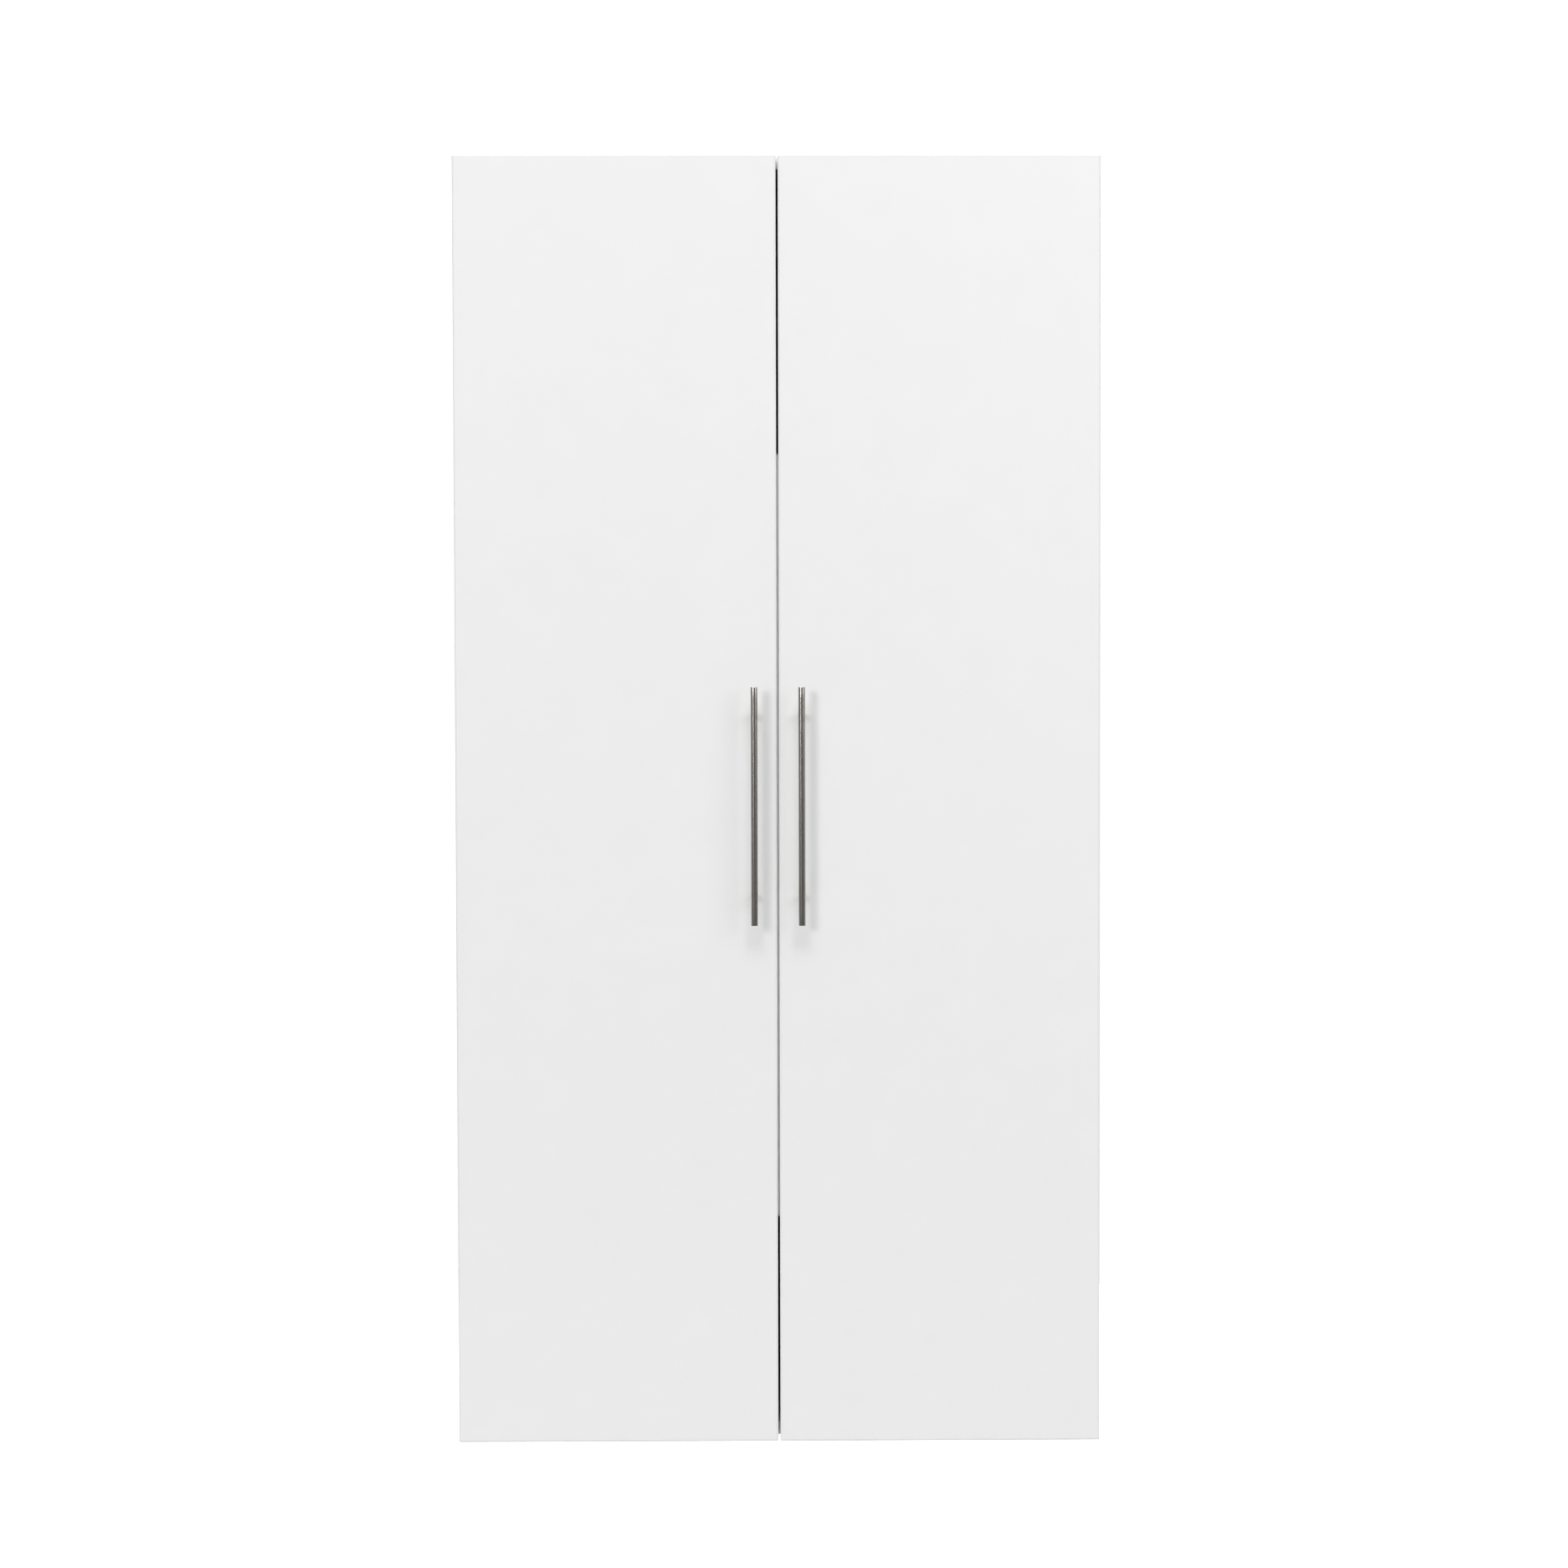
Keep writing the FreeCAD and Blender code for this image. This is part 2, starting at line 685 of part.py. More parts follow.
def makeHingeArm(side, way):
    # A bent steel strip: it crosses behind the panel's edge, reaches into the cup and ends in a
    # rolled knuckle round the pivot pin.
    half = ("-armHalf", "armHalf")
    strip = ("pivotDepth - armThickness / 2", "pivotDepth + armThickness / 2")
    outer = "armReach + armThickness"
    parts = [
        hingeBox("arm_toe_" + side, way, ("pivotInset", outer), strip, half),
        hingeBox("arm_neck_" + side, way, ("armReach", outer), (strip[0], "armBodyStart"), half),
        hingeBox("arm_body_" + side, way, ("armReach", outer), ("armBodyStart", "armBodyEnd"),
                 ("-armBodyHalf", "armBodyHalf")),
        hingeRod("arm_knuckle_" + side, way, "pivotInset", "pivotDepth", "-armHalf",
                 (0, 0, 1), "knuckleRadius", "2 * armHalf"),
    ]
    holes = [
        hingeRod("arm_eye_" + side, way, "pivotInset", "pivotDepth", "-board",
                 (0, 0, 1), "knuckleBore", "2 * board"),
        rod("arm_clamp_hole_" + side, (acrossAt(way, "board"), "plateCentre", "0"),
            (-way, 0, 0), "clampBore / 2", "board"),
    ]
    arm = cut("hinge_arm_" + side, fuse("arm_strip_" + side, parts), holes)
    atHinges("hinge_arms_" + side, arm)


def makeHingePlate(side, way):
    # A flat base on the side panel with a raised land under the arm.
    behindPanel = "doorThickness + doorGap + pinInset"
    near, far = behindPanel + " - plateHalfWidth", behindPanel + " + plateHalfWidth"
    parts = [
        hingeBox("plate_base_" + side, way, ("board", "board + plateBase"), (near, far),
                 ("-plateHalf", "plateHalf")),
        hingeBox("plate_land_" + side, way, ("board", "armReach"),
                 (near + " - landAhead", far + " + landBehind"), ("-armBodyHalf", "armBodyHalf")),
    ]
    holes = [rod("plate_hole_%s_%d" % (side, index), (acrossAt(way, "board - 1"), "plateCentre", z),
                 (-way, 0, 0), "pinBore / 2", "board")
             for index, z in enumerate(("-plateScrewUp", "plateScrewUp"))]
    holes.append(rod("plate_clamp_hole_" + side,
                     (acrossAt(way, "armReach"), "plateCentre", "0"),
                     (way, 0, 0), "clampBore / 2", "clampDepth"))
    plate = cut("hinge_plate_" + side, fuse("plate_blank_" + side, parts), holes)
    atHinges("hinge_plates_" + side, plate)


def screwSolid(name, seat, way, headRadius, headHeight, shankRadius, reach, drive):
    # A pan-head screw with a cross drive: its head stands on the seat, its shank goes in along way.
    back = tuple(-w for w in way)
    head = rod(name + "_head", seat, back, headRadius, headHeight)
    dressed = doc.addObject("Part::Chamfer", name + "_dressed")
    dressed.Base = head
    doc.recompute()
    rim = max(range(len(head.Shape.Edges)),
              key=lambda i: FreeCAD.Vector(*back).dot(head.Shape.Edges[i].CenterOfMass))
    bevel = number(headHeight) * RIM_BEVEL
    dressed.Edges = [(rim + 1, bevel, bevel)]
    shank = rod(name + "_shank", seat, way, shankRadius, reach)
    blank = fuse(name + "_blank", [dressed, shank])
    tips = []
    for index in range(2):
        spread = ["driveHalf"] * 3
        axes = [i for i in range(3) if way[i] == 0]
        spread[axes[index]] = drive
        depth = [i for i in range(3) if way[i]][0]
        low, high = [], []
        for i in range(3):
            if i == depth:
                top = "%s + %d * (%s)" % (seat[i], back[i], headHeight)
                floor = "%s + %d * (%s) * %s" % (seat[i], back[i], headHeight, DRIVE_FLOOR)
                low.append(floor if back[i] > 0 else top)
                high.append(top if back[i] > 0 else floor)
            else:
                low.append("%s - %s" % (seat[i], spread[i]))
                high.append("%s + %s" % (seat[i], spread[i]))
        tips.append(box("%s_drive_%d" % (name, index), low, high))
    return cut(name, blank, tips)


def makeHingeScrews(side, way):
    outwards = (way, 0, 0)
    plate = screwSolid("plate_screw_" + side,
                       (acrossAt(way, "board + plateBase"), "plateCentre", "0"),
                       outwards, "plateScrewHead", "plateScrewRise", "pinBore / 2",
                       "pinDepth + plateBase - screwBottomGap", "wideDrive")
    atHinges("plate_screws_" + side, plate, (" - plateScrewUp", " + plateScrewUp"))
    clamp = screwSolid("arm_screw_" + side,
                       (acrossAt(way, "armReach + armThickness"), "plateCentre", "0"),
                       outwards, "armScrewHead", "armScrewRise", "clampBore / 2",
                       "armThickness + clampDepth - screwBottomGap", "narrowDrive")
    atHinges("arm_screws_" + side, clamp)
    seat = (acrossAt(way, "cupScrewInset"), behind("doorThickness + flange"), "0")
    screw = screwSolid("cup_screw_" + side, seat, (0, -1, 0), "cupScrewHead", "cupScrewRise",
                       "cupScrewBore / 2", "cupScrewDepth + flange - screwBottomGap",
                       "narrowDrive")
    atHinges("cup_screws_" + side, screw, (" - cupScrewUp", " + cupScrewUp"))


def makeHingeCup(side, way):
    # A pressed cup let into the door's back, with a screwed flange and two ears that hold the pin.
    cupFloor = "doorThickness - cupDepth"
    inside = "cupRadius - cupWall"
    face = "doorThickness"
    top = "doorThickness + flange"
    backward = (0, 1, 0)
    blank = [
        hingeRod("cup_outer_" + side, way, "cupInset", cupFloor, "0", backward,
                 "cupRadius", "cupDepth"),
        hingeRod("cup_rim_" + side, way, "cupInset", face, "0", backward, "cupRim", "flange"),
        hingeBox("cup_wing_" + side, way,
                 ("cupScrewInset - cupScrewPad", "cupScrewInset + cupScrewPad"), (face, top),
                 ("-cupScrewUp", "cupScrewUp")),
    ]
    for index, z in enumerate(("-cupScrewUp", "cupScrewUp")):
        blank.append(hingeRod("cup_pad_%s_%d" % (side, index), way, "cupScrewInset", face, z,
                              backward, "cupScrewPad", "flange"))
    hollow = hingeRod("cup_hollow_" + side, way, "cupInset", cupFloor + " + cupWall", "0",
                      backward, inside, "cupDepth + flange")
    shell = cut("cup_shell_" + side, fuse("cup_blank_" + side, blank), [hollow])
    room = hingeRod("cup_room_" + side, way, "cupInset", cupFloor + " + cupWall", "0",
                    backward, inside, "earHeight")
    ears = []
    for index, heights in enumerate((("-board", "-earLow"), ("earLow", "board"))):
        ears.append(hingeBox("cup_ear_%s_%d" % (side, index), way, ("0", "pivotInset + earReach"),
                             ("0", "board"), heights))
    lugs = doc.addObject("Part::Common", "cup_lugs_" + side)
    lugs.Base = room
    lugs.Tool = fuse("cup_ears_" + side, ears)
    eye = hingeRod("cup_eye_" + side, way, "pivotInset", "pivotDepth", "-rivetHalf", (0, 0, 1),
                   "pivotPin", "2 * rivetHalf")
    holes = [eye]
    for index, z in enumerate(("-cupScrewUp", "cupScrewUp")):
        holes.append(hingeRod("cup_hole_%s_%d" % (side, index), way, "cupScrewInset",
                              "doorThickness - 1", z, backward, "cupScrewBore / 2", "board"))
    cup = cut("hinge_cup_" + side, fuse("cup_body_" + side, [shell, lugs]), holes)
    atHinges("hinge_cups_" + side, cup)
    pin = hingeRod("hinge_pin_" + side, way, "pivotInset", "pivotDepth", "-rivetHalf", (0, 0, 1),
                   "pivotPin", "2 * rivetHalf")
    rivet = doc.addObject("Part::Compound", "hinge_rivet_" + side)
    rivet.Links = [pin]
    atHinges("hinge_pins_" + side, rivet)


# Doors

def makeDoor(side, way):
    outer = "-cabinetWidth / 2" if way < 0 else "meetingGap / 2"
    door = board("door_panel_" + side, (outer, "doorFront", "-bottomOverhang"),
                 ("doorWidth", "doorThickness", "doorHeight"))
    doc.recompute()
    blank = door.Tip
    arris = door.newObject("PartDesign::Fillet", "door_arris_" + side)
    arris.Base = (blank, ["Edge%d" % (i + 1) for i in range(len(blank.Shape.Edges))])
    bind(arris, Radius="doorEdgeRadius")

    def acrossDoor(text):
        return text if way < 0 else "doorWidth - (%s)" % text

    lift = " + bottomOverhang"
    cups = [(acrossDoor("cupInset"), hinge + lift) for hinge in HINGES]
    drill(door, "y", "doorThickness", -1, cups, "2 * cupRadius", "cupDepth")
    pilots = [(acrossDoor("cupScrewInset"), hinge + lift + sign + "cupScrewUp")
              for hinge in HINGES for sign in (" - ", " + ")]
    drill(door, "y", "doorThickness", -1, pilots, "cupScrewBore", "cupScrewDepth")
    posts = [(acrossDoor("doorWidth - barInset"), "barHeight" + lift + sign + "postSpacing / 2")
             for sign in (" - ", " + ")]
    drill(door, "y", "doorThickness", -1, posts, "handleBore", "doorThickness")
    node(door, "door_panel_" + side)


def makeHandle(side, way):
    x = "%d * barFromMiddle" % way
    bar = newBody("handle_bar_" + side, (x, "barPlane", "barHeight - barLength / 2"))
    sketch = newSketch(bar, "z")
    addCircle(sketch, ("0", "0"), "barDiameter")
    raised = pad(bar, sketch, "z", "barLength")
    doc.recompute()
    ends = ["Edge%d" % (i + 1) for i, e in enumerate(raised.Shape.Edges) if e.isClosed()]
    bevel = bar.newObject("PartDesign::Chamfer", "bar_bevel_" + side)
    bevel.Base = (raised, ends)
    bind(bevel, Size="barChamfer")
    node(bar, "handle_bar_" + side)

    # A post is made at the origin, standing on the door's face and saddled round the bar.
    stem = rod("post_stem_" + side, ("0", "0", "0"), (0, -1, 0), "postDiameter / 2",
               "barStandoff")
    saddle = rod("post_saddle_" + side, ("0", "-barStandoff", "-board"), (0, 0, 1),
                 "barDiameter / 2", "2 * board")
    tapped = rod("post_tapping_" + side, ("0", "1", "0"), (0, -1, 0), "handleScrew / 2",
                 "1 + handleScrewReach")
    post = cut("handle_post_" + side, stem, [saddle, tapped])
    screw = screwSolid("handle_screw_" + side, ("0", "doorThickness", "0"), (0, -1, 0),
                       "handleScrewHead", "handleScrewRise", "handleScrew / 2",
                       "doorThickness + handleScrewReach - handleScrewGap", "wideDrive")
    still = FreeCAD.Rotation()
    places = [((x, "doorFront", "barHeight%spostSpacing / 2" % sign), still)
              for sign in (" - ", " + ")]
    copies("handle_posts_" + side, post, places)
    copies("handle_screws_" + side, screw, places)


def makeBumpers(side, way):
    radius = "bumperDiameter / 2"
    bumper = turned("bumper_master_" + side, [
        ("0", "0"), (radius, "0"), (radius, "bumperThickness / 2"),
        (radius + " - bumperThickness / 2", "bumperThickness"), ("0", "bumperThickness")])
    x = "%d * (meetingGap / 2 + bumperInset)" % way
    turn = facing((0, 1, 0), (1, 0, 0))
    places = [((x, "doorBack", z), turn) for z in ("midBoard", "carcassHeight - midBoard")]
    copies("door_bumpers_" + side, bumper, places)


def makeAll():
    for name in LEVELS:
        makeCrossBoard(name)
    makeCentreUpright()
    makeRails()
    makeBack()
    makeAdjustableShelves()
    makeBoardFittings()
    makeShelfPins()
    for side, way in SIDES.items():
        makeSidePanel(side, way)
        makeHingePlate(side, way)
        makeHingeArm(side, way)
        makeHingeCup(side, way)
        makeHingeScrews(side, way)
        makeDoor(side, way)
        makeHandle(side, way)
        makeBumpers(side, way)


def checkAll():
    # Nothing is written unless every feature worked and every cut took material away.
    for thing in doc.Objects:
        if "Invalid" in thing.State or "Error" in thing.State:
            raise RuntimeError("%s failed: %s" % (thing.Name, thing.State))
        if thing.TypeId == "PartDesign::Pocket":
            if thing.Shape.Volume > thing.BaseFeature.Shape.Volume - 1:
                raise RuntimeError(thing.Name + " cuts nothing")
    for thing in nodes:
        if thing.Shape.isNull() or not thing.Shape.isValid():
            raise RuntimeError(thing.Label + " has no valid shape")


makeAll()
doc.recompute()
checkAll()
os.makedirs("parts", exist_ok=True)
for thing in nodes:
    thing.Shape.exportStep("parts/%s.step" % thing.Label)
    print(thing.Label, len(thing.Shape.Solids), round(thing.Shape.Volume / 1000, 1), "cm3")
print(len(nodes), "nodes written")
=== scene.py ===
import bpy
import math
import numpy as np
from mathutils import Matrix, Vector


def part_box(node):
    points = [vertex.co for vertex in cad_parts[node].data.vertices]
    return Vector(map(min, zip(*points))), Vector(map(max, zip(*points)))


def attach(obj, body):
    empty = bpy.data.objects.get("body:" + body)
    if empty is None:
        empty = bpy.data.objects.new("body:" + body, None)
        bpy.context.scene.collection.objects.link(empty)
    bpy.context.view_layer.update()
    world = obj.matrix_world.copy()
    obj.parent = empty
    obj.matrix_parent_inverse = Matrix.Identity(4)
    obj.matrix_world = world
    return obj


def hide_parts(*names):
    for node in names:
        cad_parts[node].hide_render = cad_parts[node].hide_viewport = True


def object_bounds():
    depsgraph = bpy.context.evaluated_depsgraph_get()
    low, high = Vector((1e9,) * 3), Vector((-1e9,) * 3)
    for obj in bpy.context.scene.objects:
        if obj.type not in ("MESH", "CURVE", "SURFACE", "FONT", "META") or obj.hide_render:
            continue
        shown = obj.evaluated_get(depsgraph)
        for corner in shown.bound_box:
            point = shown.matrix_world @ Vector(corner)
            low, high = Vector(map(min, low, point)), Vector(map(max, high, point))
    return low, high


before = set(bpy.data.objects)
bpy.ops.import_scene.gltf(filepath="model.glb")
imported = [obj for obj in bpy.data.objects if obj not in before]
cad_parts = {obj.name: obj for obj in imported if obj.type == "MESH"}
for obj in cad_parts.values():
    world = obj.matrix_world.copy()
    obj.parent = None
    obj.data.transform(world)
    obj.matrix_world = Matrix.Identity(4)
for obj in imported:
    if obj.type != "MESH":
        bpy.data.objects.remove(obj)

cadLow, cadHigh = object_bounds()
scene = bpy.context.scene
sideNames = {"left": -1, "right": 1}
mm = 0.001
print("frame loaded:", len(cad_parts), "nodes")


# Meshes: arrays of points and faces, turned into objects at the origin.

def toLinear(code):
    # sRGB hex to linear light: the straight part below 0.04045, the 2.4 power above it
    channels = np.array([int(code[i:i + 2], 16) for i in (1, 3, 5)]) / 255
    linear = np.where(channels <= 0.04045, channels / 12.92, ((channels + 0.055) / 1.055) ** 2.4)
    return (*linear.tolist(), 1.0)


def ringFaces(ringCount, pointCount):
    # quads between neighbouring rings of points, each ring closed on itself
    rows = np.arange(ringCount - 1)[:, None] * pointCount
    columns = np.arange(pointCount)[None, :]
    nextRows, nextColumns = rows + pointCount, (columns + 1) % pointCount
    corners = [rows + columns, rows + nextColumns, nextRows + nextColumns, nextRows + columns]
    return np.stack(corners, -1).reshape(-1, 4)


def ringSolid(rings):
    # (points, quads, caps) of a closed body: quads between its rings and a cap on each end ring,
    # all looking outwards
    ringCount, pointCount = rings.shape[:2]
    points = rings.reshape(-1, 3)
    quads = ringFaces(ringCount, pointCount)
    corner = points[quads]
    # each quad's centre dotted with its area vector sums to three times the signed volume
    areas = np.cross(corner[:, 2] - corner[:, 0], corner[:, 3] - corner[:, 1]) / 2
    middle = points.mean(0)
    volume = ((corner.mean(1) - middle) * areas).sum()
    around = np.arange(pointCount)
    caps = [around[::-1], around + (ringCount - 1) * pointCount]
    if volume < 0:
        quads, caps = quads[:, ::-1], [cap[::-1] for cap in caps]
    return points, quads, caps


def makePiece(name, solids, material, body, replaced=(), smooth=30, grain=None):
    # One object from several bodies, shaded smooth below an angle in degrees. Each body's faces
    # are numbered on from the points before it. A grain function gives the UV map, as (along,
    # across) for each corner's point.
    points, faces, start = [], [], 0
    for somePoints, quads, caps in solids:
        points.append(somePoints)
        faces += (quads + start).tolist() + [(cap + start).tolist() for cap in caps]
        start += len(somePoints)
    mesh = bpy.data.meshes.new(name)
    mesh.from_pydata(np.concatenate(points).tolist(), [], faces)
    mesh.materials.append(material)
    mesh.polygons.foreach_set("use_smooth", np.ones(len(mesh.polygons), bool))
    mesh.set_sharp_from_angle(angle=math.radians(smooth))
    mesh.update()
    if grain:
        corner = np.empty(len(mesh.loops), int)
        mesh.loops.foreach_get("vertex_index", corner)
        layer = mesh.uv_layers.new(name="grain")
        layer.data.foreach_set("uv", grain(np.concatenate(points)[corner]).ravel())
    piece = bpy.data.objects.new(name, mesh)
    scene.collection.objects.link(piece)
    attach(piece, body)
    if replaced:
        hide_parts(*replaced)


def turnedRings(profile, segments, centre, along=(0, 0, 1)):
    # profile rows are (radius, height); a ring is the radius carried round the axis at that height
    axis = np.array(along, float)
    first = np.cross(axis, (0.0, 1.0, 0.0) if abs(axis[1]) < 0.9 else (1.0, 0.0, 0.0))
    first /= np.linalg.norm(first)
    second = np.cross(axis, first)
    angles = np.linspace(0, 2 * np.pi, segments, endpoint=False)
    circle = np.cos(angles)[:, None] * first + np.sin(angles)[:, None] * second
    radii, heights = np.array(profile, float).T
    return (np.array(centre, float) + radii[:, None, None] * circle[None]
            + heights[:, None, None] * axis)


def arc(centre, radius, startDegrees, endDegrees, count):
    # points of a circle's arc, as (across, up) rows
    angles = np.radians(np.linspace(startDegrees, endDegrees, count))
    return np.stack([centre[0] + radius * np.cos(angles), centre[1] + radius * np.sin(angles)], 1)


# Materials: one function adds a node, with plain values or links for its inputs.

def addNode(tree, kind, inputs=None, **settings):
    # settings are the node's own properties; an input is a socket to link or a plain value
    node = tree.nodes.new("ShaderNode" + kind)
    for name, value in settings.items():
        setattr(node, name, value)
    for name, value in (inputs or {}).items():
        if isinstance(value, bpy.types.NodeSocket):
            tree.links.new(value, node.inputs[name])
        else:
            node.inputs[name].default_value = value
    return node


def newMaterial(name, **shader):
    # a principled shader with uniform values set on its own sockets
    material = bpy.data.materials.new(name)
    material.use_nodes = True
    tree = material.node_tree
    principled = tree.nodes["Principled BSDF"]
    for socket, value in shader.items():
        principled.inputs[socket.replace("_", " ")].default_value = value
    return material, tree, principled


def objectPlace(tree, scale=(1, 1, 1)):
    # object coordinates in metres, stretched by a scale on each axis
    coordinates = addNode(tree, "TexCoord")
    mapping = addNode(tree, "Mapping", {"Vector": coordinates.outputs["Object"], "Scale": scale})
    return mapping.outputs["Vector"]


melamine = {
    "colour": "#efefef",        # decor paper, neutral white
    "shade": "#ececec",         # its faint cloudiness
    "roughness": 0.46,          # satin press plate
    "pebble": 1.1 * mm,         # press-plate pebble; really 0.3 mm, coarser so that it shows
    "pebbleDepth": 0.04 * mm,
    "pebbleStrength": 0.12,
    "waviness": 60 * mm,        # chips telegraphing through the paper
    "waveDepth": 0.1 * mm,
    "waveStrength": 0.2,
    "glue": "#b9b5ae",          # hot-melt glue, seen end on
    "glueLine": 0.09 * mm,      # half the width of the line; really about half of this
    "facing": 0.2,              # millimetres of white at a faced side
    "bandEdge": 0.9,            # at a banded front edge
    "doorBand": 2.1,            # at a door's thicker bands, which its rounded arrises cut into
}
chipboard = {
    "light": "#c9a878",
    "dark": "#7d5a35",
    "flake": 2.4 * mm,          # length of one wood chip
    "speckle": 0.45,            # how much the chips differ from each other
}


def paintMelamine(tree):
    # white decor paper pressed in melamine resin: a satin white with the faintest slow cloudiness
    place = objectPlace(tree)
    cloud = addNode(tree, "TexNoise", {"Vector": place, "Scale": 1 / melamine["waviness"],
                                       "Detail": 2.0})
    colour = addNode(tree, "Mix", {"Factor": cloud.outputs["Fac"],
                                   "A": toLinear(melamine["colour"]),
                                   "B": toLinear(melamine["shade"])}, data_type="RGBA")
    return place, cloud, colour.outputs["Result"]


def melamineBump(tree, place, cloud):
    # the press plate's pebble, which breaks up the glint, over a very slow waviness of the board
    pebble = addNode(tree, "TexNoise", {"Vector": place, "Scale": 1 / melamine["pebble"],
                                        "Detail": 3.0, "Roughness": 0.6})
    fine = addNode(tree, "Bump", {"Height": pebble.outputs["Fac"],
                                  "Strength": melamine["pebbleStrength"],
                                  "Distance": melamine["pebbleDepth"]})
    wide = addNode(tree, "Bump", {"Height": cloud.outputs["Fac"],
                                  "Strength": melamine["waveStrength"],
                                  "Distance": melamine["waveDepth"],
                                  "Normal": fine.outputs["Normal"]})
    return wide.outputs["Normal"]


def melamineBoard(name, low, high, banded, seams):
    # Melamine-faced chipboard. A point shows white where it lies on one of the banded or faced
    # planes of the board's box, given as (axis, end, millimetres of white), and bare pressed chips
    # in grooves, bores and unbanded edges.
    material, tree, principled = newMaterial(name, Roughness=melamine["roughness"])
    place, cloud, white = paintMelamine(tree)
    spot = addNode(tree, "SeparateXYZ", {"Vector": place})
    faced = None
    for axis, end, depth in banded:
        level = (low if end < 0 else high)["XYZ".index(axis)]
        near = addNode(tree, "Math", {0: spot.outputs[axis], 1: level, 2: depth * mm},
                       operation="COMPARE")
        faced = near.outputs[0] if faced is None else addNode(
            tree, "Math", {0: faced, 1: near.outputs[0]}, operation="MAXIMUM").outputs[0]
    flakes = addNode(tree, "TexVoronoi", {"Vector": place, "Scale": 1 / chipboard["flake"],
                                          "Randomness": 1.0})
    grain = addNode(tree, "TexNoise", {"Vector": place, "Scale": 3 / chipboard["flake"]})
    blend = addNode(tree, "Mix", {"Factor": grain.outputs["Fac"],
                                  "A": toLinear(chipboard["light"]),
                                  "B": toLinear(chipboard["dark"])}, data_type="RGBA")
    chips = addNode(tree, "Mix", {"Factor": chipboard["speckle"], "A": blend.outputs["Result"],
                                  "B": flakes.outputs["Color"]},
                    data_type="RGBA", blend_type="SOFT_LIGHT")
    faces = addNode(tree, "Mix", {"Factor": faced, "A": chips.outputs["Result"], "B": white},
                    data_type="RGBA")
    colour = faces
    for axis, end, depth in seams:
        # the glue line where the edge band meets the facing, a band's thickness in from the edge
        level = (low if end < 0 else high)["XYZ".index(axis)] - end * depth * mm
        line = addNode(tree, "Math", {0: spot.outputs[axis], 1: level, 2: melamine["glueLine"]},
                       operation="COMPARE")
        colour = addNode(tree, "Mix", {"Factor": line.outputs[0], "A": colour.outputs["Result"],
                                       "B": toLinear(melamine["glue"])}, data_type="RGBA")
    tree.links.new(colour.outputs["Result"], principled.inputs["Base Color"])
    tree.links.new(melamineBump(tree, place, cloud), principled.inputs["Normal"])
    return material


def dressBoards():
    # every board is faced on both sides of its thickness and banded on the edges that show
    facing, band = melamine["facing"], melamine["doorBand"]
    acrossBoard, throughBoard, upBoard = ([(axis, -1, facing), (axis, 1, facing)] for axis in "XYZ")
    front = ("Y", -1, melamine["bandEdge"])
    for name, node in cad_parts.items():
        low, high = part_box(name)
        if name.startswith("door_panel"):
            seams = [("X", -1, band), ("X", 1, band), ("Z", -1, band), ("Z", 1, band)]
            edges = seams + [("Y", -1, band), ("Y", 1, facing)]
        elif name.startswith("side_panel"):
            edges, seams = [*acrossBoard, front, *upBoard], [front]
        elif name.endswith("rail"):
            edges, seams = throughBoard, []
        elif name == "centre_upright":
            edges, seams = [*acrossBoard, front], [front]
        elif name in ("top_panel", "bottom_panel") or "shelf_" in name and name != "shelf_pins":
            edges, seams = [*upBoard, front], [front]
        else:
            continue
        setMaterial(node, melamineBoard(name + "Melamine", low, high, edges, seams))


def setMaterial(node, material):
    # one material all over a node that came from the CAD
    node.data.materials.clear()
    node.data.materials.append(material)


def brushedMetal(name, colour, roughness, grain):
    # Turned and belt-polished steel: fine upright scratches streak its glint. They are noise of
    # the grain's width, drawn out fifty times upwards.
    material, tree, principled = newMaterial(name, Metallic=1.0, Roughness=roughness,
                                             Base_Color=toLinear(colour))
    scratches = addNode(tree, "TexNoise", {"Vector": objectPlace(tree, (1, 1, 0.02)),
                                           "Scale": 1 / grain, "Detail": 3.0})
    spread = addNode(tree, "MapRange", {"Value": scratches.outputs["Fac"], "To Min": roughness - 0.05,
                                        "To Max": roughness + 0.09})
    bump = addNode(tree, "Bump", {"Height": scratches.outputs["Fac"], "Strength": 0.25,
                                  "Distance": 0.01 * mm})
    tree.links.new(spread.outputs["Result"], principled.inputs["Roughness"])
    tree.links.new(bump.outputs["Normal"], principled.inputs["Normal"])
    return material


def groundBarMetal(name, colour, roughness, grain):
    # Bar ground round and round between belts: hair-fine rings that draw every reflection out
    # into a stripe along the bar, and a slightly warm grey. The rings are noise of the grain's
    # width up the bar, drawn out twenty times across it.
    material, tree, principled = newMaterial(name, Metallic=1.0, Roughness=roughness,
                                             Base_Color=toLinear(colour), Anisotropic=0.3)
    tangent = addNode(tree, "Tangent", direction_type="UV_MAP", uv_map="grain")
    tree.links.new(tangent.outputs["Tangent"], principled.inputs["Tangent"])
    rings = addNode(tree, "TexNoise", {"Vector": objectPlace(tree, (0.05, 0.05, 1)),
                                       "Scale": 1 / grain, "Detail": 2.0})
    spread = addNode(tree, "MapRange", {"Value": rings.outputs["Fac"], "To Min": roughness - 0.04,
                                        "To Max": roughness + 0.06})
    tree.links.new(spread.outputs["Result"], principled.inputs["Roughness"])
    return material


